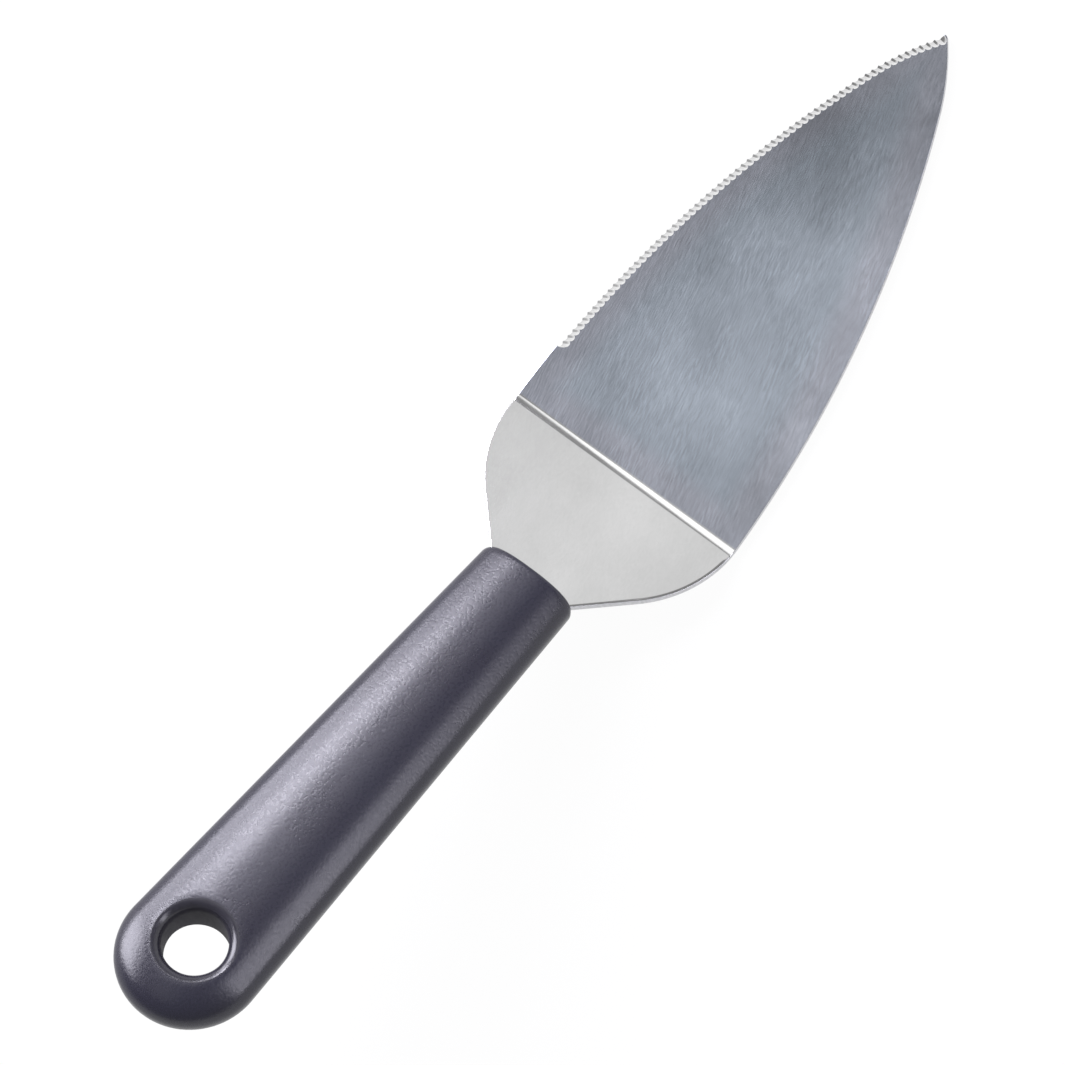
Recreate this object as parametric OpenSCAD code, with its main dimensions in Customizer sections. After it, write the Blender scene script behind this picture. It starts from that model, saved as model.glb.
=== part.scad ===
// Cake server: a folded sheet-steel blade with one serrated edge, whose tang is held in a moulded handle.
// The blade lies flat on Z = 0 and points along +X. The serrated edge is on +Y. The handle rises towards -X.

/* [Blade] */
// Length from the fold line to the point where the two edges meet
blade_l = 114; // [80:1:160]
// Width at the fold
blade_w = 57.7; // [44:0.1:76]
// Thickness of the sheet
sheet_t = 1.6; // [1:0.1:2.4]
// Angle at which the two edges start to close in at the fold
edge_toe = 0.6; // [0.2:0.1:2]
// Length of the more strongly curved nose
nose_l = 15; // [10:0.5:22]
// Width of the blade where the nose starts
nose_w = 18.1; // [14:0.1:22]
// Radius of the blunted tip
tip_r = 0.6; // [0.3:0.1:1.2]

/* [Serration] */
// Distance from the fold line to the first tooth
serration_start = 14.2; // [8:0.2:30]
// Edge left plain next to the tip
serration_end = 0.8; // [0.6:0.2:10]
// Width of the ground band on the upper face
serration_w = 2.25; // [1.4:0.05:3]
// How far each flute bites into the edge
tooth_depth = 0.25; // [0.1:0.05:0.8]
// Distance from tooth to tooth
tooth_pitch = 1.6; // [1.2:0.1:3]
// Radius of a flute
tooth_r = 1.1; // [0.9:0.1:2]
// Slant of the flutes away from square to the edge
tooth_slant = 25; // [0:1:40]

/* [Fold and neck] */
// Angle between the blade and the neck
fold_angle = 21; // [10:0.5:35]
// Inside radius of the fold
fold_r = 6.5; // [3:0.5:10]
// Angle at which the neck tapers into the handle
neck_taper = 45; // [40:1:60]

/* [Tang] */
// Width of the tang
tang_w = 16; // [12:0.5:18]
// Length of the tang inside the handle
tang_l = 78; // [60:1:90]
// How far the neck's taper runs on inside the handle
tang_shoulder = 2.8; // [0.5:0.1:3]
// Radius of the two holes that lock the tang in the moulding
lock_r = 3; // [1.5:0.1:4.5]
// Distance from the handle's front to the first lock hole
lock_start = 24; // [14:1:30]
// Distance between the two lock holes
lock_pitch = 32; // [16:1:36]
// Gap between the tang and the moulding all round
tang_gap = 0.1; // [0.05:0.05:0.3]

/* [Handle] */
// Length of the handle
handle_l = 121.8; // [105:0.2:150]
// Width at the front
handle_front_w = 23.1; // [22:0.1:28]
// Width at the butt
handle_butt_w = 30.8; // [28:0.1:38]
// Thickness
handle_t = 11.5; // [9:0.1:15]
// Fullness of the cross-section: 2 is an ellipse, more is squarer
section_power = 2.4; // [2:0.1:3.5]
// Radius of the front corners, seen from above
front_corner_r = 2; // [1.5:0.1:5]
// Radius of the front edges, seen from the side
front_edge_r = 0.9; // [0.5:0.1:2.5]

/* [Hanging hole] */
// Radius of the hole
hole_r = 6.7; // [4:0.1:8]
// Distance from the butt's end to the middle of the hole
hole_end = 16.8; // [14:0.1:24]
// Radius of the rounded rim
rim_r = 2.2; // [0.8:0.1:2.6]

/* [Hidden] */

// Fine steps for long arcs, and plain ones for the rest
arc_fn = 360;
round_fn = 64;
disc_fn = 48;
section_steps = 10;
fold_steps = 8;
// Overlap that keeps cutters clear of the faces they pass through
over = 1;
// Small set-off that lets one curve cross the next instead of only touching it
seam = 0.01;

half_w = blade_w / 2;

// Fold: the sheet's middle planes meet at X = 0, and the bend takes fold_reach from each side
fold_reach = (fold_r + sheet_t / 2) * tan(fold_angle / 2);

// Edge arc on +Y: leaves the fold's end at edge_toe and passes through the nose's start
nose_x = blade_l - nose_l;
nose_y = nose_w / 2;
edge_dx = nose_x - fold_reach;
edge_dy = half_w - nose_y;
edge_r = (edge_dx ^ 2 + edge_dy ^ 2) / (2 * (edge_dy * cos(edge_toe) - edge_dx * sin(edge_toe)));
edge_cx = fold_reach - edge_r * sin(edge_toe);
edge_cy = half_w - edge_r * cos(edge_toe);
nose_angle = atan2(nose_x - edge_cx, nose_y - edge_cy);

// Nose arc: carries on from the edge arc and meets the middle line at blade_l
nose_top = nose_y + seam;
nose_r = (nose_l ^ 2 + nose_top ^ 2) / (2 * (nose_top * cos(nose_angle) - nose_l * sin(nose_angle)));
nose_cx = nose_x - nose_r * sin(nose_angle);
nose_cy = nose_top - nose_r * cos(nose_angle);
point_angle = atan2(blade_l - nose_cx, -nose_cy);

// Blunted tip: a circle that runs into both nose arcs
tip_x = nose_cx + sqrt((nose_r - tip_r) ^ 2 - nose_cy ^ 2);
tip_cut = nose_cx + (tip_x - nose_cx) * nose_r / (nose_r - tip_r);
tip_cx = tip_x + seam;

// Serrated stretch, as lengths along the edge from the fold
edge_len = edge_r * (nose_angle - edge_toe) * PI / 180;
nose_len = nose_r * (point_angle - nose_angle) * PI / 180;
start_len = edge_r * (asin((serration_start - edge_cx) / edge_r) - edge_toe) * PI / 180;
teeth = floor((edge_len + nose_len - serration_end - start_len) / tooth_pitch);
bevel = atan2(sheet_t, serration_w - tooth_depth);
flute_l = 4 * (serration_w + sheet_t);

// Neck: a disc that meets the sheet's sides where the bend ends, then a straight taper
neck_x = fold_reach / 2;
neck_r = sqrt(half_w ^ 2 + neck_x ^ 2);
taper_r = neck_r - 5 * seam;

// Places along the handle's direction, counted from the fold
taper_end = neck_x + taper_r * sin(neck_taper) + (taper_r * cos(neck_taper) - tang_w / 2) / tan(neck_taper);
handle_front = taper_end - tang_shoulder;
tang_end = handle_front + tang_l;
butt_r = handle_butt_w / 2;
butt_x = handle_front + handle_l - butt_r;
front_r = handle_front_w / 2;
// Half width of the tapering sides where the front cuts them
front_half = front_r / sqrt(1 - ((butt_r - front_r) / (butt_x - handle_front)) ^ 2);
crown = handle_t / 2;
hole_x = handle_front + handle_l - hole_end;
// Straight part of the hole, between the rounded rims
bore_half = crown - rim_r;

// Reach of the tilted butt towards -X, and the middle of the whole length
dual_power = section_power / (section_power - 1);
butt_sum = (butt_r * cos(fold_angle)) ^ dual_power + (crown * sin(fold_angle)) ^ dual_power;
butt_reach = butt_sum ^ (1 / dual_power);
min_x = -butt_x * cos(fold_angle) - butt_reach;
max_x = tip_cx + tip_r;
middle_x = (min_x + max_x) / 2;

// Angle and place of the point at length a along the serrated edge
function edge_angle(a) =
    a < edge_len ? edge_toe + a / edge_r * 180 / PI : nose_angle + (a - edge_len) / nose_r * 180 / PI;
function edge_point(a) =
    a < edge_len
    ? [edge_cx + edge_r * sin(edge_angle(a)), edge_cy + edge_r * cos(edge_angle(a))]
    : [nose_cx + nose_r * sin(edge_angle(a)), nose_cy + nose_r * cos(edge_angle(a))];

// Point of a superellipse quarter with half axes a and b
function section_point(a, b, turn) =
    [a * cos(turn) ^ (2 / section_power), b * sin(turn) ^ (2 / section_power)];

// Puts a shape drawn from the fold towards the butt into its tilted place
module along_handle() {
    translate([0, 0, sheet_t / 2])
        rotate([0, fold_angle, 0])
            rotate([0, 0, 180])
                children();
}

// Where two equal circles, mirrored about the middle line, overlap
module lens(cx, cy, r) {
    intersection() {
        translate([cx, cy]) circle(r, $fn = arc_fn);
        translate([cx, -cy]) circle(r, $fn = arc_fn);
    }
}

// Strip across the blade from one place along it to another
module strip(from, to) {
    translate([from, -half_w - over]) square([to - from, blade_w + 2 * over]);
}

// Blade seen from above, from the fold line to the tip
module blade_outline() {
    intersection() {
        lens(edge_cx, edge_cy, edge_r);
        union() {
            strip(-neck_x, nose_x);
            intersection() {
                lens(nose_cx, nose_cy, nose_r);
                union() {
                    strip(nose_x - over, tip_cut);
                    translate([tip_cx, 0]) circle(tip_r, $fn = round_fn);
                }
            }
        }
    }
}

// Neck and tang, flat, drawn from the fold; grow widens it all round for the handle's socket
module neck_outline(grow = 0) {
    side_r = taper_r + grow;
    side_x = neck_x + side_r * sin(neck_taper);
    side_y = side_r * cos(neck_taper);
    tang_half = tang_w / 2 + grow;
    throat_x = side_x + (side_y - tang_half) / tan(neck_taper);
    round_x = tang_end - tang_w / 2;
    translate([neck_x, 0]) circle(neck_r + grow, $fn = arc_fn);
    polygon([
        [neck_x, -tang_half], [side_x, -side_y], [throat_x, -tang_half],
        [throat_x, tang_half], [side_x, side_y], [neck_x, tang_half]
    ]);
    translate([side_x, -tang_half]) square([round_x - side_x, 2 * tang_half]);
    translate([round_x, 0]) circle(tang_half, $fn = round_fn);
}

// Point of the bend, at radius r and a turn towards the handle
function bend_point(r, turn) =
    [fold_reach - r * sin(turn), sheet_t + fold_r - r * cos(turn)];

// The sheet seen from the side: flat blade, bend, and straight neck and tang
module sheet_profile() {
    outer = [for (i = [0 : fold_steps]) bend_point(fold_r + sheet_t, fold_angle * i / fold_steps)];
    inner = [for (i = [fold_steps : -1 : 0]) bend_point(fold_r, fold_angle * i / fold_steps)];
    far = tang_end + over - fold_reach;
    run = [-far * cos(fold_angle), far * sin(fold_angle)];
    polygon(concat(
        [[blade_l + over, 0]],
        outer,
        [outer[fold_steps] + run, inner[0] + run],
        inner,
        [[blade_l + over, sheet_t]]
    ));
}

// The two lock holes' places, along the handle
module at_locks() {
    for (i = [0, 1]) translate([handle_front + lock_start + i * lock_pitch, 0]) children();
}

// Flutes that grind the teeth, each a cylinder that slopes down through the edge
module flutes() {
    for (k = [0 : teeth - 1]) {
        a = start_len + (k + 0.5) * tooth_pitch;
        p = edge_point(a);
        translate([p[0], p[1], 0])
            rotate([0, 0, -edge_angle(a)])
                translate([0, -tooth_depth, 0])
                    rotate([0, 0, tooth_slant])
                        rotate([90 - bevel, 0, 0])
                            translate([0, tooth_r, 0])
                                cylinder(h = flute_l, r = tooth_r, center = true, $fn = 24);
    }
}

// Sheet-steel blade, fold, neck and tang in one stamping
module blade() {
    color("#9aa1ab") translate([-middle_x, 0, 0])
        difference() {
            intersection() {
                translate([0, half_w, 0])
                    rotate([90, 0, 0])
                        linear_extrude(blade_w) sheet_profile();
                union() {
                    translate([0, 0, -over]) linear_extrude(sheet_t + 2 * over) blade_outline();
                    along_handle()
                        translate([0, 0, -sheet_t / 2 - over])
                            linear_extrude(sheet_t + 2 * over) neck_outline();
                }
            }
            flutes();
            along_handle()
                at_locks()
                    cylinder(h = sheet_t + 2 * over, r = lock_r, center = true, $fn = round_fn);
        }
}

// Disc with a crowned, round-edged section
module crowned_disc(r) {
    rotate_extrude($fn = disc_fn)
        polygon([
            for (i = [-section_steps : section_steps])
                let (q = section_point(r, crown, 90 * abs(i) / section_steps))
                    [q[0], sign(i) * q[1]]
        ]);
}

// A wide sheet from the handle's front onwards, drawn in to 2 * half by two rounded front corners
module rounded_front(half, r) {
    length = handle_l + 2 * over;
    translate([handle_front, r - half]) square([length, 2 * (half - r)]);
    translate([handle_front + r, -handle_butt_w]) square([length, 2 * handle_butt_w]);
    for (side = [-1, 1])
        translate([handle_front + r, side * (half - r)]) circle(r, $fn = round_fn);
}

// Tapered grip: two crowned discs joined, cut flat at the front with its edges rounded
module grip() {
    intersection() {
        hull() {
            translate([handle_front, 0, 0]) crowned_disc(front_r);
            translate([butt_x, 0, 0]) crowned_disc(butt_r);
        }
        translate([0, 0, -handle_t])
            linear_extrude(2 * handle_t) rounded_front(front_half, front_corner_r);
        translate([0, handle_butt_w, 0])
            rotate([90, 0, 0])
                linear_extrude(2 * handle_butt_w) rounded_front(crown, front_edge_r);
    }
}

// Hanging hole with a rounded rim on both faces
module hanging_hole() {
    translate([hole_x, 0, 0]) {
        cylinder(h = handle_t + 2 * over, r = hole_r, center = true, $fn = round_fn);
        for (side = [0, 1])
            mirror([0, 0, side])
                rotate_extrude($fn = round_fn)
                    difference() {
                        translate([0, bore_half]) square([hole_r + rim_r, rim_r + over]);
                        translate([hole_r + rim_r, bore_half]) circle(rim_r, $fn = round_fn);
                    }
    }
}

// Room for the tang, with the two plugs left standing that pass through its lock holes
module tang_socket() {
    translate([0, 0, -sheet_t / 2 - tang_gap])
        linear_extrude(sheet_t + 2 * tang_gap)
            difference() {
                neck_outline(tang_gap);
                at_locks() circle(lock_r - tang_gap, $fn = round_fn);
            }
}

// Moulded handle
module handle() {
    color("#3c3d47")
        translate([-middle_x, 0, 0])
            along_handle()
                difference() {
                    grip();
                    tang_socket();
                    hanging_hole();
                }
}

blade();
handle();
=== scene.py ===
"""Dresses the cake server: a brushed steel blade folded up into a moulded anthracite handle."""

from math import asin, atan2, cos, pi, radians, sin, sqrt, tan

import bmesh
import bpy
from mathutils import Matrix, Vector


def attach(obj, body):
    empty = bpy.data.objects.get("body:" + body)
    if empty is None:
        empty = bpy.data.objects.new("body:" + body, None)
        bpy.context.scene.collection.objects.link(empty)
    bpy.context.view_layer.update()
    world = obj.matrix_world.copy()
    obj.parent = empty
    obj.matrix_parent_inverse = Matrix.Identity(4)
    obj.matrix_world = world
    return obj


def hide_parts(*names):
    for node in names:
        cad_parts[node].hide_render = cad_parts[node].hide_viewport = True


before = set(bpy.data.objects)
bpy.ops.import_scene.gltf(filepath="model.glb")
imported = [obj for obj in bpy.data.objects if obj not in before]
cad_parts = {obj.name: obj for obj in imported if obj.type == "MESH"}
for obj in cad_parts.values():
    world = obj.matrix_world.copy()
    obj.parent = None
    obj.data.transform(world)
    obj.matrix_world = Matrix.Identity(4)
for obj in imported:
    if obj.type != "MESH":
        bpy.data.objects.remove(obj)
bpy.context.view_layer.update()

# Sizes in millimetres, the same as the solids have
MM = 0.001
FOLD_X = 14.4616
BLADE_L = 114.0
HALF_W = 28.85
SHEET_T = 1.6
EDGE_TOE = radians(0.6)
NOSE_L = 15.0
NOSE_HALF = 9.05
TIP_R = 0.6
TOOTH_START = 14.2
TOOTH_END = 0.8
TOOTH_BAND = 2.25
TOOTH_DEPTH = 0.25
TOOTH_PITCH = 1.6
TOOTH_R = 1.1
TOOTH_SLANT = radians(25)
FOLD = radians(21)
FOLD_R = 6.5
TAPER = radians(45)
TANG_HALF = 8.0
TANG_L = 78.0
TANG_SHOULDER = 2.8
HANDLE_L = 121.8
FRONT_HALF = 11.55
BUTT_R = 15.4
CROWN = 5.75
SECTION = 2.4
FRONT_CORNER = 2.0
FRONT_EDGE = 0.9
HOLE_R = 6.7
HOLE_END = 16.8
RIM_R = 2.2

# Broken edges of the sheet and the roll of the neck's upper edge, which the solids leave out
EDGE_BREAK = 0.12
ROLL_W = 0.6
ROLL_DROP = 0.06
ROLL_STEPS = 4
ROLL_GROWS_BACK = 2.0
ROLL_GROWS_OUT = 8.0

# Where painted light near the fold gives way to painted shade towards the tip on the brushed face:
# a line across it turned from its axis, and the run along that turn
PAINTED_SHADE_TURN = radians(-32)
PAINTED_SHADE_FROM = 9.0
PAINTED_SHADE_TO = 99.0

# Widths over which the finishes of the blade change, in from its edge or out from its fold
FINISH_STEP = 0.4
MARGIN_START = 9.0
MARGIN_AT_EDGE = 4.0
MARGIN_AT_FOLD = 5.0
# Where painted shade on the teeth starts to deepen towards the tip, and where it is full
TEETH_SHADE_START = 50.0
TEETH_SHADE_FULL = 100.0

# Fold, edge arcs and neck, worked out from the sizes
BEND_R = FOLD_R + SHEET_T / 2
FOLD_REACH = BEND_R * tan(FOLD / 2)
NOSE_X = BLADE_L - NOSE_L
edge_dx = NOSE_X - FOLD_REACH
edge_dy = HALF_W - NOSE_HALF
EDGE_R = (edge_dx**2 + edge_dy**2) / (2 * (edge_dy * cos(EDGE_TOE) - edge_dx * sin(EDGE_TOE)))
EDGE_C = Vector((FOLD_REACH - EDGE_R * sin(EDGE_TOE), HALF_W - EDGE_R * cos(EDGE_TOE), 0))
NOSE_A = atan2(NOSE_X - EDGE_C.x, NOSE_HALF - EDGE_C.y)
NOSE_R = (NOSE_L**2 + NOSE_HALF**2) / (2 * (NOSE_HALF * cos(NOSE_A) - NOSE_L * sin(NOSE_A)))
NOSE_C = Vector((NOSE_X - NOSE_R * sin(NOSE_A), NOSE_HALF - NOSE_R * cos(NOSE_A), 0))
TIP_C = Vector((NOSE_C.x + sqrt((NOSE_R - TIP_R) ** 2 - NOSE_C.y**2), 0, 0))
TIP_A = atan2(TIP_C.x - NOSE_C.x, -NOSE_C.y)
POINT_A = atan2(BLADE_L - NOSE_C.x, -NOSE_C.y)
NECK_X = FOLD_REACH / 2
NECK_R = sqrt(HALF_W**2 + NECK_X**2)
THROAT_X = NECK_X + NECK_R * sin(TAPER) + (NECK_R * cos(TAPER) - TANG_HALF) / tan(TAPER)
HANDLE_FRONT = THROAT_X - TANG_SHOULDER
TANG_END = HANDLE_FRONT + TANG_L
BUTT_X = HANDLE_FRONT + HANDLE_L - BUTT_R
HOLE_X = HANDLE_FRONT + HANDLE_L - HOLE_END

# How close two points are taken for one, and how close a point lies to a cutting plane
SAME_POINT = 1e-4
ON_PLANE = 1e-5


def finished(name, bm, node):
    """Scales a bmesh in millimetres to metres, makes it an object and ties it to the frame."""
    bmesh.ops.scale(bm, vec=(MM, MM, MM), verts=bm.verts)
    mesh = bpy.data.meshes.new(name)
    bm.to_mesh(mesh)
    bm.free()
    piece = bpy.data.objects.new(name, mesh)
    bpy.context.collection.objects.link(piece)
    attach(piece, "root")
    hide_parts(node)
    return piece


def smooth(mesh, angle):
    """Shades a mesh smooth, apart from edges sharper than an angle in degrees."""
    for face in mesh.polygons:
        face.use_smooth = True
    mesh.set_sharp_from_angle(angle=radians(angle))


def everything(bm):
    """All vertices, edges and faces of a bmesh."""
    return bm.verts[:] + bm.edges[:] + bm.faces[:]


# Blade, with one finish for its faces, one for its sheared edge and two for its ground teeth: their
# floor, and their flank with painted shade

BRUSHED, SHEARED, GROUND, PAINTED_SHADE_FLANK = range(4)
FLANK_TURN = 0.3


def flat_x(s):
    """Place in the flat blank of a point at distance s from the fold along the handle."""
    return FOLD_REACH - FOLD * BEND_R - (s - FOLD_REACH)


def sweep(bm, vert, centre, angle, steps):
    """Draws an arc from a vertex and gives its last vertex."""
    made = bmesh.ops.spin(bm, geom=[vert], cent=centre, axis=(0, 0, 1), angle=angle, steps=steps)
    return next(g for g in made["geom_last"] if isinstance(g, bmesh.types.BMVert))


def line_to(bm, vert, x, y):
    """Draws a straight edge from a vertex and gives its last vertex."""
    made = bmesh.ops.extrude_vert_indiv(bm, verts=[vert])["verts"][0]
    made.co = (x, y, 0)
    return made


def blank():
    """Flat blank of the whole stamping: half its outline, mirrored, filled and thickened."""
    bm = bmesh.new()
    end = bmesh.ops.create_vert(bm, co=(TIP_C.x + TIP_R, 0, 0))["vert"][0]
    end = sweep(bm, end, TIP_C, pi / 2 - TIP_A, 6)
    end = sweep(bm, end, NOSE_C, TIP_A - NOSE_A, 20)
    end = sweep(bm, end, EDGE_C, NOSE_A - EDGE_TOE, 60)
    end = line_to(bm, end, flat_x(FOLD_REACH), HALF_W)
    start = asin(NECK_X / NECK_R)
    end = sweep(bm, end, (flat_x(NECK_X), 0, 0), TAPER - start, 40)
    end = line_to(bm, end, flat_x(THROAT_X), TANG_HALF)
    end = line_to(bm, end, flat_x(TANG_END - TANG_HALF), TANG_HALF)
    sweep(bm, end, (flat_x(TANG_END - TANG_HALF), 0, 0), pi / 2, 12)
    bmesh.ops.mirror(bm, geom=bm.verts[:] + bm.edges[:], merge_dist=SAME_POINT, axis="Y")
    bmesh.ops.remove_doubles(bm, verts=bm.verts, dist=SAME_POINT)
    face = bmesh.ops.contextual_create(bm, geom=bm.edges[:])["faces"][0]
    raised = bmesh.ops.extrude_face_region(bm, geom=[face])["geom"]
    tops = [g for g in raised if isinstance(g, bmesh.types.BMVert)]
    bmesh.ops.translate(bm, verts=tops, vec=(0, 0, SHEET_T))
    bmesh.ops.recalc_face_normals(bm, faces=bm.faces)
    walls = [f for f in bm.faces if abs(f.normal.z) < 0.5]
    for wall in walls:
        wall.material_index = SHEARED
    rims = [e for w in walls for e in w.edges if abs(e.verts[0].co.z - e.verts[1].co.z) < 1e-6]
    broken = bmesh.ops.bevel(
        bm, geom=rims, offset=EDGE_BREAK, segments=2, profile=0.5, affect="EDGES", material=-1
    )["faces"]
    for face in broken:
        if face.calc_center_median().x < flat_x(FOLD_REACH):
            face.material_index = SHEARED
    return bm


def roll_edge(bm):
    """Rounds the neck's upper edge down on its plain side, as the stamping die leaves it."""
    begin = flat_x(FOLD_REACH)
    bmesh.ops.bisect_plane(
        bm,
        geom=everything(bm),
        dist=ON_PLANE,
        plane_co=(begin + ROLL_W, 0, 0),
        plane_no=(1, 0, 0),
    )
    behind = [f for f in bm.faces if f.normal.z > 0.99 and f.calc_center_median().x < begin]
    neck = max(behind, key=lambda f: f.calc_area())
    rings = []
    for _ in range(ROLL_STEPS):
        made = bmesh.ops.inset_region(
            bm, faces=[neck], thickness=ROLL_W / ROLL_STEPS, use_even_offset=True
        )
        rings.append(made["faces"])
    rows = [set(neck.verts)]
    for ring in reversed(rings[1:]):
        rows.append({v for f in ring for v in f.verts} - rows[-1])
    inside = set().union(*rows)
    rows.append({v for v in bm.verts if v.co.z > SHEET_T - EDGE_BREAK * 1.5} - inside)
    for k, row in enumerate(rows):
        for v in row:
            behind_fold = min(max((begin - v.co.x) / ROLL_GROWS_BACK, 0), 1)
            plain_side = min(max(-v.co.y / ROLL_GROWS_OUT, 0), 1)
            v.co.z -= ROLL_DROP * (k / ROLL_STEPS) ** 1.5 * (behind_fold * plain_side)


def fold_up(bm):
    """Bends the blank: the neck and tang turn up about the fold."""
    steps = 14
    for i in range(steps + 1):
        bmesh.ops.bisect_plane(
            bm,
            geom=everything(bm),
            dist=ON_PLANE,
            plane_co=(FOLD_REACH - FOLD * BEND_R * i / steps, 0, 0),
            plane_no=(1, 0, 0),
        )
    for v in bm.verts:
        past = FOLD_REACH - v.co.x
        if past <= 0:
            continue
        turn = min(past / BEND_R, FOLD)
        run = past - turn * BEND_R
        r = FOLD_R + SHEET_T - v.co.z
        v.co.x = FOLD_REACH - r * sin(turn) - run * cos(turn)
        v.co.z = SHEET_T + FOLD_R - r * cos(turn) + run * sin(turn)


def edge_place(length):
    """Point and angle on the serrated edge at a length along it from the fold."""
    first = EDGE_R * (NOSE_A - EDGE_TOE)
    if length < first:
        centre, r, a = EDGE_C, EDGE_R, EDGE_TOE + length / EDGE_R
    else:
        centre, r, a = NOSE_C, NOSE_R, NOSE_A + (length - first) / NOSE_R
    return centre + Vector((r * sin(a), r * cos(a), 0)), a


def flutes():
    """Round cutters that slope down through the edge, one to a tooth."""
    bm = bmesh.new()
    start = EDGE_R * (asin((TOOTH_START - EDGE_C.x) / EDGE_R) - EDGE_TOE)
    whole = EDGE_R * (NOSE_A - EDGE_TOE) + NOSE_R * (POINT_A - NOSE_A)
    bevel = atan2(SHEET_T, TOOTH_BAND - TOOTH_DEPTH)
    for k in range(int((whole - TOOTH_END - start) / TOOTH_PITCH)):
        point, a = edge_place(start + (k + 0.5) * TOOTH_PITCH)
        place = (
            Matrix.Translation(point)
            @ Matrix.Rotation(-a, 4, "Z")
            @ Matrix.Translation((0, -TOOTH_DEPTH, 0))
            @ Matrix.Rotation(TOOTH_SLANT, 4, "Z")
            @ Matrix.Rotation(pi / 2 - bevel, 4, "X")
            @ Matrix.Translation((0, TOOTH_R, 0))
        )
        made = bmesh.ops.create_cone(
            bm,
            cap_ends=True,
            segments=28,
            radius1=TOOTH_R,
            radius2=TOOTH_R,
            depth=4 * (TOOTH_BAND + SHEET_T),
            matrix=place,
        )
        # Cutter faces that look towards the tip leave walls facing the handle, away from the light;
        # these get the painted shade
        for face in {f for v in made["verts"] for f in v.link_faces}:
            face.normal_update()
            away = face.normal.x * cos(a) - face.normal.y * sin(a)
            face.material_index = PAINTED_SHADE_FLANK if away > FLANK_TURN else GROUND
    return bm


def cut(piece, bm):
    """Takes a cutter's shape out of a piece for good."""
    bmesh.ops.scale(bm, vec=(MM, MM, MM), verts=bm.verts)
    mesh = bpy.data.meshes.new("cutter")
    bm.to_mesh(mesh)
    bm.free()
    for finish in piece.data.materials:
        mesh.materials.append(finish)
    cutter = bpy.data.objects.new("cutter", mesh)
    bpy.context.collection.objects.link(cutter)
    modifier = piece.modifiers.new("cut", "BOOLEAN")
    modifier.operation = "DIFFERENCE"
    modifier.solver = "EXACT"
    modifier.use_self = True
    modifier.object = cutter
    seen = bpy.context.evaluated_depsgraph_get()
    result = bpy.data.meshes.new_from_object(piece.evaluated_get(seen))
    piece.modifiers.clear()
    piece.data = result
    bpy.data.objects.remove(cutter)


def make_blade():
    """The stamping: blank, rolled edge and fold, then its ground teeth."""
    bm = blank()
    roll_edge(bm)
    fold_up(bm)
    bmesh.ops.translate(bm, verts=bm.verts, vec=(FOLD_X, 0, 0))
    piece = finished("blade_sheet", bm, "blade")
    for finish in (brushed_steel(), sheared_edge(), ground_teeth(), painted_shade_teeth()):
        piece.data.materials.append(finish)
    cutters = flutes()
    bmesh.ops.translate(cutters, verts=cutters.verts, vec=(FOLD_X, 0, 0))
    cut(piece, cutters)
    smooth(piece.data, 32)
    weights = piece.modifiers.new("flat_faces", "WEIGHTED_NORMAL")
    weights.keep_sharp = True
    weights.weight = 80


# Handle, drawn with X along it from the fold, Y across and Z out of its middle plane.
# Spokes run from the hanging hole out to the butt's outline and forward to the shaft.

MOULDED, CORED, POLISHED = range(3)
SPOKES = 112
BUTT_SPOKES = 44
SIDE_SPOKES = 10
FRONT_SPOKES = SPOKES - BUTT_SPOKES - 2 * SIDE_SPOKES
RIM_STEPS = 8
RINGS = 16
SHAFT_STEPS = 30
CORNER_STEPS = 10
SHAFT_X = HOLE_X - 20
WALL_TOP = 0.3


def half_width(s):
    """Half the handle's width at a distance from the fold."""
    return FRONT_HALF + (BUTT_R - FRONT_HALF) * (s - HANDLE_FRONT) / (BUTT_X - HANDLE_FRONT)


def share(s, y):
    """How far out a point lies between the handle's middle line, 0, and its outline, 1."""
    if s > BUTT_X:
        return sqrt((s - BUTT_X) ** 2 + y * y) / BUTT_R
    return abs(y) / half_width(s)


def crown(s, y):
    """Height of the upper face."""
    out = share(s, y)
    return CROWN * (1 - out**SECTION) ** (1 / SECTION) if out < 0.99999 else 0.0


def section_share(i):
    """Signed share of the i-th of the points that cross the handle from one side to the other."""
    c = cos(pi * i / FRONT_SPOKES)
    return (1 if c > 0 else -1) * abs(c) ** (2 / SECTION)


def from_butt(i):
    """The i-th spoke's number, counted from where the butt's round starts."""
    return (i + BUTT_SPOKES // 2) % SPOKES


def spoke_end(i):
    """Where the i-th spoke ends: on the outline, or on the line where the shaft starts."""
    i = from_butt(i)
    if i <= BUTT_SPOKES:
        a = pi * (i / BUTT_SPOKES - 0.5)
        return BUTT_X + BUTT_R * cos(a), BUTT_R * sin(a)
    i -= BUTT_SPOKES
    if i <= SIDE_SPOKES:
        s = BUTT_X + (SHAFT_X - BUTT_X) * i / SIDE_SPOKES
        return s, half_width(s)
    i -= SIDE_SPOKES
    if i <= FRONT_SPOKES:
        return SHAFT_X, half_width(SHAFT_X) * section_share(i)
    i -= FRONT_SPOKES
    s = SHAFT_X + (BUTT_X - SHAFT_X) * i / SIDE_SPOKES
    return s, -half_width(s)


def on_shaft_line(vert, tag):
    """Whether a vertex's spoke ends on the line where the shaft starts."""
    return BUTT_SPOKES + SIDE_SPOKES <= from_butt(vert[tag]) <= SPOKES - SIDE_SPOKES


def spoke_start(i):
    """Where the i-th spoke leaves the hole's rounded rim, and its direction."""
    x, y = spoke_end(i)
    a = atan2(y, x - HOLE_X)
    return HOLE_X + (HOLE_R + RIM_R) * cos(a), (HOLE_R + RIM_R) * sin(a), a


def rim_point(i, turn):
    """Point of the hole's rounded rim on a spoke, turned from the wall up to the upper face."""
    x0, y0, a = spoke_start(i)
    r = HOLE_R + RIM_R * (1 - cos(turn))
    return Vector((HOLE_X + r * cos(a), r * sin(a), crown(x0, y0) - RIM_R * (1 - sin(turn))))


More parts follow.
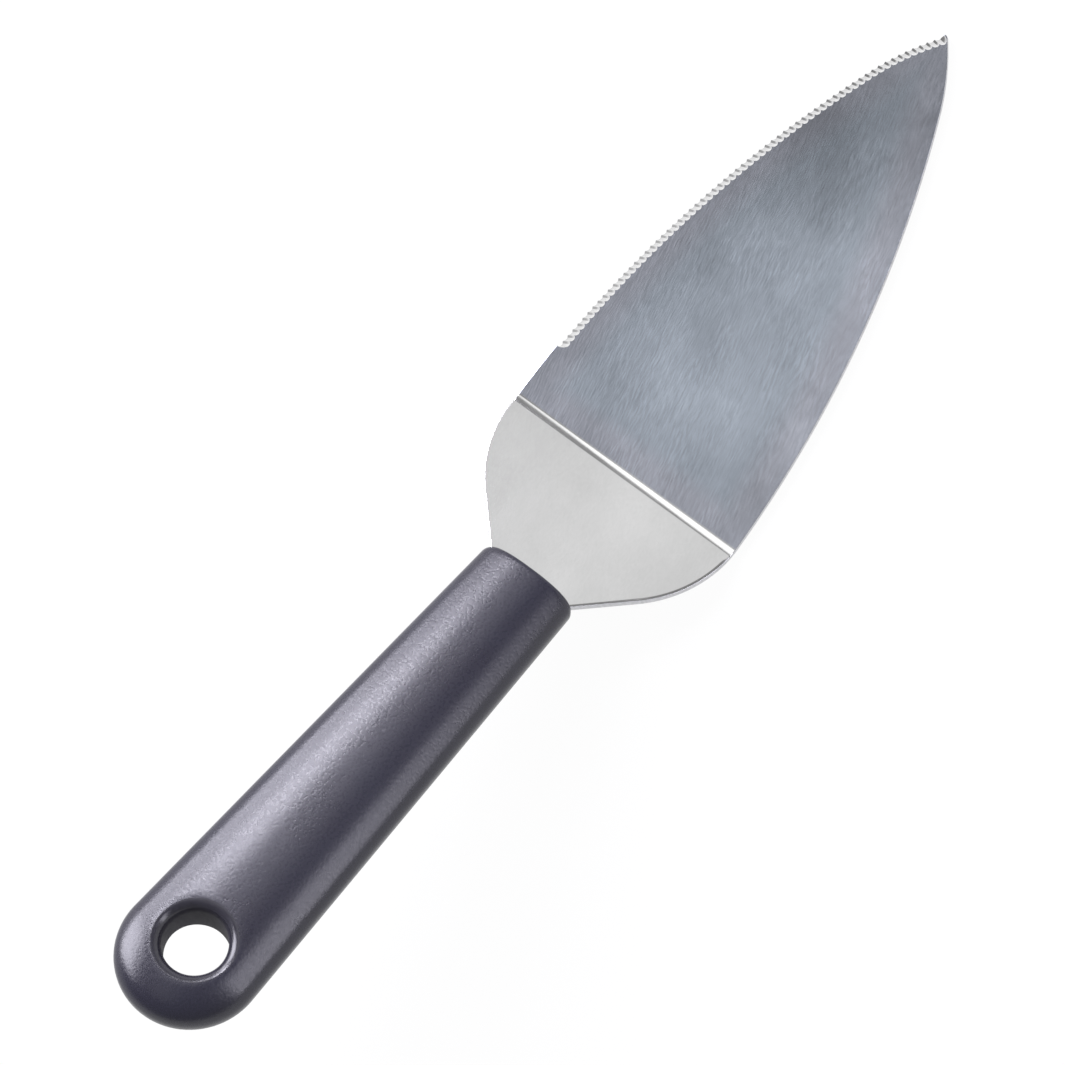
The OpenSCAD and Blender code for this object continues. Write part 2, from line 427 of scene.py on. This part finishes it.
def spoke_point(i, j):
    """Point j of RINGS along a spoke, close together where the face turns down to the outline."""
    x0, y0, _ = spoke_start(i)
    x1, y1 = spoke_end(i)
    crowding = 1 + 1.4 * share(x1, y1) ** 2
    part = 1 - (1 - j / RINGS) ** crowding
    x, y = x0 + (x1 - x0) * part, y0 + (y1 - y0) * part
    return Vector((x, y, crown(x, y)))


def rounded_off(back, radius):
    """What a quarter round takes off at a distance behind the front."""
    if back >= radius:
        return 0.0
    return radius - sqrt(radius**2 - (radius - back) ** 2)


def shaft_point(i, s):
    """Point of the shaft's upper face on the i-th spoke's line, at a distance from the fold."""
    i = from_butt(i) - BUTT_SPOKES - SIDE_SPOKES
    out = section_share(i)
    back = s - HANDLE_FRONT
    wide = half_width(s) - rounded_off(back, FRONT_CORNER)
    high = CROWN - rounded_off(back, FRONT_EDGE)
    z = high * max(0, 1 - abs(out) ** SECTION) ** (1 / SECTION)
    return Vector((s, wide * out, z if 0 < i < FRONT_SPOKES else 0))


def grow(bm, edges, place):
    """Extrudes edges and puts each new vertex where place says; gives the new edges."""
    tag = bm.verts.layers.int["spoke"]
    made = bmesh.ops.extrude_edge_only(bm, edges=edges)["geom"]
    new = [g for g in made if isinstance(g, bmesh.types.BMVert)]
    for v in new:
        v.co = place(v[tag])
    known = set(new)
    return [e for v in new for e in v.link_edges if e.verts[0] == v and e.verts[1] in known]


def grip_half():
    """Upper half of the handle: rings round the hole to the butt, then the shaft to the front."""
    bm = bmesh.new()
    tag = bm.verts.layers.int.new("spoke")
    circle = bmesh.ops.create_circle(bm, segments=SPOKES, radius=HOLE_R)["verts"]
    for i, v in enumerate(circle):
        v[tag] = i
        a = spoke_start(i)[2]
        v.co = (HOLE_X + HOLE_R * cos(a), HOLE_R * sin(a), 0)
    edges = bm.edges[:]
    for k in range(RIM_STEPS + 1):
        edges = grow(bm, edges, lambda i: rim_point(i, pi / 2 * k / RIM_STEPS))
    hole = bm.faces[:]
    for j in range(1, RINGS + 1):
        edges = grow(bm, edges, lambda i: spoke_point(i, j))
    edges = [e for e in edges if all(on_shaft_line(v, tag) for v in e.verts)]
    corner = HANDLE_FRONT + FRONT_CORNER
    places = [SHAFT_X + (corner - SHAFT_X) * k / SHAFT_STEPS for k in range(1, SHAFT_STEPS + 1)]
    for k in range(1, CORNER_STEPS + 1):
        places.append(HANDLE_FRONT + FRONT_CORNER * (1 - sin(pi / 2 * k / CORNER_STEPS)))
    for s in places:
        edges = grow(bm, edges, lambda i: shaft_point(i, s))
    for face in hole:
        x, y, _ = face.calc_center_median()
        on_rim = sqrt((x - HOLE_X) ** 2 + y * y) > HOLE_R + WALL_TOP
        face.material_index = POLISHED if on_rim else CORED
    return bm


def make_handle():
    """The moulding: its upper half mirrored, closed at the front and tilted up along the fold."""
    bm = grip_half()
    bmesh.ops.mirror(bm, geom=everything(bm), merge_dist=SAME_POINT, axis="Z")
    bmesh.ops.remove_doubles(bm, verts=bm.verts, dist=SAME_POINT)
    bmesh.ops.contextual_create(bm, geom=[e for e in bm.edges if e.is_boundary])
    bmesh.ops.recalc_face_normals(bm, faces=bm.faces)
    tilt = Matrix(
        (
            (-cos(FOLD), 0, sin(FOLD), FOLD_X),
            (0, -1, 0, 0),
            (sin(FOLD), 0, cos(FOLD), SHEET_T / 2),
            (0, 0, 0, 1),
        )
    )
    bmesh.ops.transform(bm, matrix=tilt, verts=bm.verts)
    piece = finished("handle_grip", bm, "handle")
    for finish in (moulded_plastic(), cored_plastic(), polished_plastic()):
        piece.data.materials.append(finish)
    smooth(piece.data, 40)


# Nodes that the materials are made of


def nodes_of(name):
    """A new node material, with its tree and its shader."""
    material = bpy.data.materials.new(name)
    material.use_nodes = True
    tree = material.node_tree
    return material, tree, tree.nodes["Principled BSDF"]


def feed(tree, made, inputs):
    """Links sockets to a node's inputs, and sets plain values on them."""
    for key, value in inputs.items():
        if isinstance(value, bpy.types.NodeSocket):
            tree.links.new(value, made.inputs[key])
        else:
            made.inputs[key].default_value = value


def node(tree, kind, inputs=None, **settings):
    """Adds a node with its settings and its inputs."""
    made = tree.nodes.new(kind)
    for key, value in settings.items():
        setattr(made, key, value)
    feed(tree, made, inputs or {})
    return made


def object_place(tree):
    """Where a point lies on its piece."""
    return node(tree, "ShaderNodeTexCoord").outputs["Object"]


def axes(tree, place):
    """A point's X, Y and Z."""
    return node(tree, "ShaderNodeSeparateXYZ", {"Vector": place}).outputs[:3]


def span(tree, value, low, high, first=0.0, last=1.0):
    """A value's place between two others, given as a number from first to last."""
    made = node(
        tree,
        "ShaderNodeMapRange",
        {"Value": value, "From Min": low, "From Max": high, "To Min": first, "To Max": last},
    )
    return made.outputs["Result"]


def larger(tree, one, other):
    """The larger of two values."""
    return node(tree, "ShaderNodeMath", {0: one, 1: other}, operation="MAXIMUM").outputs[0]


def product(tree, one, other):
    """One value times another."""
    return node(tree, "ShaderNodeMath", {0: one, 1: other}, operation="MULTIPLY").outputs[0]


def blend(tree, factor, first, second, kind="RGBA", way="MIX"):
    """One colour or value that goes over into another by a factor."""
    made = node(
        tree,
        "ShaderNodeMix",
        {"Factor": factor, "A": first, "B": second},
        data_type=kind,
        blend_type=way,
    )
    return made.outputs["Result"]


def tinted(tree, colour, layers):
    """A colour multiplied by each of a list of layers."""
    for layer in layers:
        colour = blend(tree, 1.0, colour, layer, way="MULTIPLY")
    return colour


def ramp(tree, factor, stops):
    """A colour ramp with grey or coloured stops."""
    made = node(tree, "ShaderNodeValToRGB", {"Fac": factor})
    line = made.color_ramp.elements
    while len(line) < len(stops):
        line.new(0.5)
    for element, (place, colour) in zip(line, stops):
        element.position = place
        element.color = (*colour, 1) if isinstance(colour, tuple) else (colour, colour, colour, 1)
    return made.outputs["Color"]


def noise(tree, place, waves, detail=2.0, turn=0.0, fade=0.5):
    """Noise with waves in millimetres along X, Y and Z, turned about Z in degrees."""
    size = [wave * MM for wave in waves]
    grain = node(
        tree,
        "ShaderNodeMapping",
        {"Vector": place, "Scale": size, "Rotation": (0, 0, radians(turn))},
        vector_type="TEXTURE",
    )
    made = node(
        tree,
        "ShaderNodeTexNoise",
        {"Vector": grain.outputs[0], "Scale": 1.0, "Detail": detail, "Roughness": fade},
    )
    return made.outputs["Fac"]


def relief(tree, height, strength, depth):
    """Normals of a surface with a height on it, its depth in metres."""
    made = node(
        tree, "ShaderNodeBump", {"Height": height, "Strength": strength, "Distance": depth}
    )
    return made.outputs["Normal"]


# Finishes of the blade


def face_margin(tree, place, along):
    """How far a point lies in the margin along the face's edges and fold, from 0 to 1."""
    from_arcs = []
    for side in (1, -1):
        centre = ((FOLD_X + EDGE_C.x) * MM, side * EDGE_C.y * MM, SHEET_T * MM)
        reach = node(tree, "ShaderNodeVectorMath", {0: place, 1: centre}, operation="DISTANCE")
        from_arcs.append(reach.outputs["Value"])
    outer = larger(tree, *from_arcs)
    by_edge = span(tree, outer, (EDGE_R - MARGIN_START) * MM, (EDGE_R - MARGIN_AT_EDGE) * MM)
    by_fold = span(tree, along, (FOLD_X + MARGIN_START) * MM, (FOLD_X + MARGIN_AT_FOLD) * MM)
    return larger(tree, by_edge, by_fold)


def brushed_tone(tree, place, along, streaks, cloud):
    """The flat face: painted light near the fold and painted shade aslant to the tip, and clouded,
    streaked and scored in patches.
    """
    slant = node(tree, "ShaderNodeMapping", {"Vector": place, "Rotation": (0, 0, PAINTED_SHADE_TURN)})
    run = axes(tree, slant.outputs[0])[0]
    painted_shading = span(tree, run, PAINTED_SHADE_FROM * MM, PAINTED_SHADE_TO * MM)
    # Painted light on the heel, then painted shade that deepens aslant towards the tip
    pale = [(0, 0.47), (0.19, 0.545), (0.32, 0.525), (0.46, 0.515)]
    dull = [(0.6, 0.465), (0.74, 0.34), (0.9, 0.235)]
    margin = face_margin(tree, place, along)
    scratches = noise(tree, place, (2.8, 0.5, 0.5), 2.0, 17)
    patches = noise(tree, place, (11, 7, 7), 2.0, 30)
    scored = blend(
        tree,
        ramp(tree, patches, [(0.4, 0.2), (0.62, 1)]),
        (1, 1, 1, 1),
        ramp(tree, scratches, [(0.35, 0.91), (0.7, 1.12)]),
    )
    layers = [
        ramp(tree, margin, [(0, (0.9, 1.0, 1.14)), (1, (0.96, 1.0, 1.135))]),
        ramp(tree, cloud, [(0.3, 0.83), (0.7, 1.17)]),
        ramp(tree, streaks, [(0.3, 0.965), (0.7, 1.035)]),
        scored,
    ]
    return tinted(tree, ramp(tree, painted_shading, pale + dull), layers)


def neck_tone_with_painted_shade(tree, across, streaks, cloud):
    """The neck: rubbed smooth, with painted light palest beside its middle and painted shade darker
    to its sides.
    """
    side = span(tree, across, -HALF_W * MM, HALF_W * MM)
    layers = [
        ramp(tree, streaks, [(0.3, 0.98), (0.7, 1.02)]),
        # Painted light beside the middle of the neck and painted shade towards its sides
        ramp(tree, side, [(0.07, 0.955), (0.2, 1.0), (0.4, 1.04), (0.65, 0.99), (0.8, 0.91)]),
    ]
    return tinted(tree, ramp(tree, cloud, [(0.3, 0.65), (0.7, 0.72)]), layers)


def brushed_steel():
    """Sheet steel: brushed along the blade in front of the fold, smooth and pale behind it."""
    material, tree, shader = nodes_of("brushed_steel")
    place = object_place(tree)
    along, across, _ = axes(tree, place)
    face_x = FOLD_X + FOLD_REACH
    front = span(tree, along, (face_x - FINISH_STEP) * MM, face_x * MM)
    streaks = noise(tree, place, (2.4, 0.34, 0.34), 3.0, 10)
    cloud = noise(tree, place, (26, 18, 18), 5.0, 15, 0.6)
    # The neck's tone, with its painted light and shade across it
    satin = neck_tone_with_painted_shade(tree, across, streaks, cloud)
    # The blade's face, with its painted light near the fold and painted shade towards the tip
    brushed = brushed_tone(tree, place, along, streaks, cloud)
    wiped = span(tree, cloud, 0, 1, 0.06, 0.13)
    spread = span(tree, streaks, 0, 1, 0.12, 0.24)
    finish = {
        "Base Color": blend(tree, front, satin, brushed),
        "Roughness": blend(tree, front, wiped, spread, kind="FLOAT"),
        "Normal": relief(tree, product(tree, streaks, front), 0.3, 0.00004),
        "Metallic": 1.0,
    }
    feed(tree, shader, finish)
    return material


def sheared_edge():
    """The stamping's edge: duller and darker than its faces, with shear lines through the sheet."""
    material, tree, shader = nodes_of("sheared_edge")
    lines = noise(tree, object_place(tree), (0.45, 0.45, 3.3))
    finish = {
        "Base Color": ramp(tree, lines, [(0.3, (0.52, 0.52, 0.54)), (0.7, (0.66, 0.66, 0.68))]),
        "Roughness": span(tree, lines, 0, 1, 0.35, 0.55),
        "Metallic": 1.0,
    }
    feed(tree, shader, finish)
    return material


def tooth_steel(name, painted_low_shade, painted_mid_shade, top_colour, painted_tip_shade):
    """Ground steel with painted shade: darker at the thin edge than up at the face, and darker from
    heel to tip.
    """
    material, tree, shader = nodes_of(name)
    place = object_place(tree)
    along, _, height = axes(tree, place)
    up = span(tree, height, 0, SHEET_T * MM)
    # Painted shade that deepens from heel to tip
    shade_to_tip = span(tree, along, (FOLD_X + TEETH_SHADE_START) * MM, (FOLD_X + TEETH_SHADE_FULL) * MM)
    lines = noise(tree, place, (0.33, 1.4, 1.4))
    layers = [
        ramp(tree, shade_to_tip, [(0, 1.0), (1, painted_tip_shade)]),
        ramp(tree, lines, [(0.3, 0.94), (0.7, 1.0)]),
    ]
    # Painted shade low on the thin edge, lifting towards the face and giving way to the bright top
    # colour near it
    ground = tinted(tree, ramp(tree, up, [(0.1, painted_low_shade), (0.5, painted_mid_shade)]), layers)
    near_top = ramp(tree, up, [(0.55, 0), (1.0, 1)])
    finish = {
        "Base Color": blend(tree, near_top, ground, (*top_colour, 1)),
        "Roughness": span(tree, lines, 0, 1, 0.1, 0.18),
        "Metallic": 1.0,
    }
    feed(tree, shader, finish)
    return material


def ground_teeth():
    """The floor of each flute, bright from the wheel, with a little painted shade towards its thin
    edge and the tip.
    """
    return tooth_steel("ground_teeth", 0.72, 0.8, (0.88, 0.88, 0.88), 0.95)


def painted_shade_teeth():
    """The steep flank of each flute, facing back to the handle and away from the light, with
    painted shade: grey apart from its bright top.
    """
    return tooth_steel("painted_shade_teeth", 0.4, 0.44, (0.85, 0.85, 0.86), 0.45)


# Finishes of the handle


def moulded_plastic():
    """Dark anthracite plastic with a fine spark texture."""
    material, tree, shader = nodes_of("moulded_plastic")
    place = object_place(tree)
    pits = noise(tree, place, (0.6, 0.6, 0.6), 1.0)
    cloud = noise(tree, place, (17, 17, 17))
    tones = [(0.3, (0.014, 0.0125, 0.024)), (0.7, (0.015, 0.015, 0.028))]
    finish = {
        "Base Color": ramp(tree, cloud, tones),
        "Roughness": span(tree, pits, 0.3, 0.7, 0.26, 0.3),
        "Normal": relief(tree, pits, 0.45, 0.00006),
        "IOR": 1.58,
    }
    feed(tree, shader, finish)
    return material


def polished_plastic():
    """The hanging hole's rounded rim, smoother than the rest where the tool was polished."""
    material, tree, shader = nodes_of("polished_plastic")
    haze = noise(tree, object_place(tree), (1.1, 1.1, 1.1))
    tones = [(0.3, (0.017, 0.016, 0.024)), (0.7, (0.022, 0.021, 0.031))]
    finish = {
        "Base Color": ramp(tree, haze, tones),
        "Roughness": span(tree, haze, 0, 1, 0.2, 0.28),
        "IOR": 1.58,
    }
    feed(tree, shader, finish)
    return material


def cored_plastic():
    """The hanging hole's wall, dull where the core pin drew out."""
    material, tree, shader = nodes_of("cored_plastic")
    drag = noise(tree, object_place(tree), (0.7, 0.7, 3.3))
    tones = [(0.3, (0.014, 0.013, 0.020)), (0.7, (0.019, 0.017, 0.026))]
    finish = {
        "Base Color": ramp(tree, drag, tones),
        "Roughness": span(tree, drag, 0, 1, 0.6, 0.8),
        "Normal": relief(tree, drag, 0.4, 0.0001),
        "IOR": 1.4,
    }
    feed(tree, shader, finish)
    return material


# Stage, in metres

CEILING = 2.5
FLOOR_HALF = 4.0
FLOOR_BELOW = 0.0004


def lamp(name, size, radiance, colour=(1, 1, 1)):
    """A rectangular lamp that is as bright as asked, whatever its size."""
    data = bpy.data.lights.new(name, "AREA")
    data.shape = "RECTANGLE"
    data.size, data.size_y = size
    data.energy = radiance * pi * size[0] * size[1]
    data.color = colour
    made = bpy.data.objects.new(name, data)
    bpy.context.collection.objects.link(made)
    return made


def ceiling_panel(name, middle, size, turn, radiance):
    """A flat panel under the ceiling, facing down."""
    panel = lamp(name, size, radiance)
    panel.location = (*middle, CEILING)
    panel.rotation_euler = (0, 0, radians(turn))


def soft_box(name, towards, along, distance, size, radiance, colour):
    """A soft box that faces the object from a direction, its long side along another."""
    box = lamp(name, size, radiance, colour)
    back = Vector(towards).normalized()
    side = Vector(along).cross(back).normalized()
    turn = Matrix((side, back.cross(side), back)).transposed()
    box.matrix_world = Matrix.Translation(back * distance) @ turn.to_4x4()


def seen_white(tree, share_of_white):
    """The share of white on rays that look at the stage straight or in a reflection."""
    path = node(tree, "ShaderNodeLightPath").outputs
    looking = larger(tree, path["Is Camera Ray"], path["Is Glossy Ray"])
    looking = larger(tree, looking, path["Is Transmission Ray"])
    return product(tree, looking, share_of_white)


def make_floor():
    """A plain matt floor just under the blade, white where it is looked at."""
    bm = bmesh.new()
    bmesh.ops.create_grid(bm, x_segments=1, y_segments=1, size=FLOOR_HALF)
    bmesh.ops.translate(bm, verts=bm.verts, vec=(0, 0, -FLOOR_BELOW))
    mesh = bpy.data.meshes.new("floor")
    bm.to_mesh(mesh)
    bm.free()
    floor = bpy.data.objects.new("floor", mesh)
    bpy.context.collection.objects.link(floor)
    material, tree, shader = nodes_of("floor_white")
    tree.nodes.remove(shader)
    white = seen_white(tree, 0.95)
    matt = node(tree, "ShaderNodeBsdfDiffuse", {"Color": (0.85, 0.85, 0.85, 1)}).outputs[0]
    glow = node(tree, "ShaderNodeEmission", {"Color": (1, 1, 1, 1), "Strength": 1.0}).outputs[0]
    mix = node(tree, "ShaderNodeMixShader", {0: white, 1: matt, 2: glow})
    tree.links.new(mix.outputs[0], tree.nodes["Material Output"].inputs["Surface"])
    mesh.materials.append(material)


def make_light():
    """A room that is pale low down, panels for the flat faces and soft boxes for the handle."""
    world = bpy.data.worlds.new("studio")
    bpy.context.scene.world = world
    world.use_nodes = True
    tree = world.node_tree
    towards = node(tree, "ShaderNodeTexCoord").outputs["Generated"]
    rise = axes(tree, towards)[2]
    stops = [(0, 1), (0.2, 1), (0.32, 0.75), (0.5, 0.3), (1, 0.3)]
    tree.links.new(ramp(tree, rise, stops), tree.nodes["Background"].inputs["Color"])
    ceiling_panel("blade_panel", (-0.15, 0.4), (0.96, 0.72), 0, 0.42)
    ceiling_panel("fold_panel", (1.04, 0.575), (1.24, 0.36), -10, 1.4)
    ceiling_panel("neck_panel", (2.6, 2.2), (1.4, 3.5), 0, 0.61)
    lilac = (1.0, 0.98, 1.105)
    shaft = (-0.88, -0.086, 0.465)
    soft_box("side_box", (0.49, 0.52, 0.7), (-0.87, 0.09, 0.48), 1.28, (0.4, 0.17), 25.0, lilac)
    soft_box("low_box", (0.405, 0.8, 0.445), (-0.88, 0.14, 0.45), 1.22, (0.62, 0.17), 11.0, lilac)
    soft_box("butt_box", (-0.03, 0.82, 0.59), (1, 0, 0), 1.3, (0.8, 0.8), 10.5, lilac)
    soft_box("right_box", (0.43, -0.59, 0.685), shaft, 1.14, (0.86, 0.26), 4.8, lilac)


def make_camera():
    """The camera at the photograph's viewing angle."""
    data = bpy.data.cameras.new("camera")
    data.sensor_width = 36.0
    data.lens = 148.21
    data.clip_end = 20.0
    camera = bpy.data.objects.new("camera", data)
    camera.matrix_world = Matrix(
        (
            (0.591464, 0.806329, 0.002081, -0.004461),
            (-0.775492, 0.569547, -0.272448, -0.241015),
            (-0.220868, 0.159530, 0.962168, 0.882762),
            (0, 0, 0, 1),
        )
    )
    bpy.context.collection.objects.link(camera)
    bpy.context.scene.camera = camera


make_camera()
make_blade()
make_handle()
make_floor()
make_light()
bpy.context.scene.view_settings.view_transform = "Standard"
